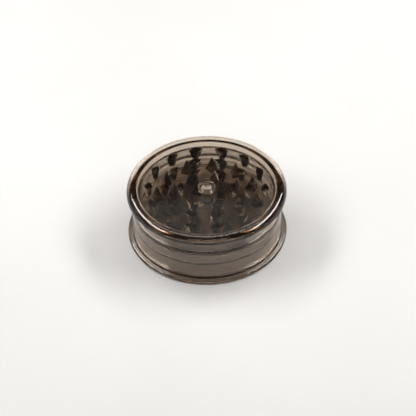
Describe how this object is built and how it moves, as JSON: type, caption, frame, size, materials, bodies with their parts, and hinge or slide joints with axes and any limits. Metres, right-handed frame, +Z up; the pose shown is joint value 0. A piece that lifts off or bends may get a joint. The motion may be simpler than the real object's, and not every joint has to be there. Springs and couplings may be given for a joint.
{
  "type": "hand grinder",
  "caption": "Low round hand grinder of clear smoke plastic: toothed lid that turns on a toothed tray, over a shallow storage base, held shut by small centre magnets.",
  "frame": {"origin": "centre of the flat underside of the storage base", "axes": "+Z up along the grinder's axis; all four moving joints share this axis"},
  "size_m": [0.06, 0.06, 0.0227],
  "materials": {
    "smoke_plastic": "clear smoke-grey moulded plastic, polished",
    "magnet_nickel": "nickel plate, slightly dull",
    "magnet_ferrite": "bare ferrite, matt grey-black"
  },
  "bodies": {
    "base": {"storage_base": "smoke_plastic"},
    "tray_core": {"tray_magnet": "magnet_ferrite"},
    "tray": {"grinding_tray": "smoke_plastic"},
    "lid_core": {"lid_magnet": "magnet_nickel"},
    "lid": {"lid": "smoke_plastic"}
  },
  "joints": [
    {"name": "tray_lift", "type": "slide", "parent": "base", "child": "tray_core", "axis": [0, 0, 1], "range_m": [0, 0.03]},
    {"name": "tray_turn", "type": "hinge", "parent": "tray_core", "child": "tray", "pos_m": [0, 0, 0.0137], "axis": [0, 0, 1], "continuous": true},
    {"name": "lid_lift", "type": "slide", "parent": "tray", "child": "lid_core", "axis": [0, 0, 1], "range_m": [0, 0.03]},
    {"name": "lid_turn", "type": "hinge", "parent": "lid_core", "child": "lid", "pos_m": [0, 0, 0.0212], "axis": [0, 0, 1], "continuous": true}
  ]
}
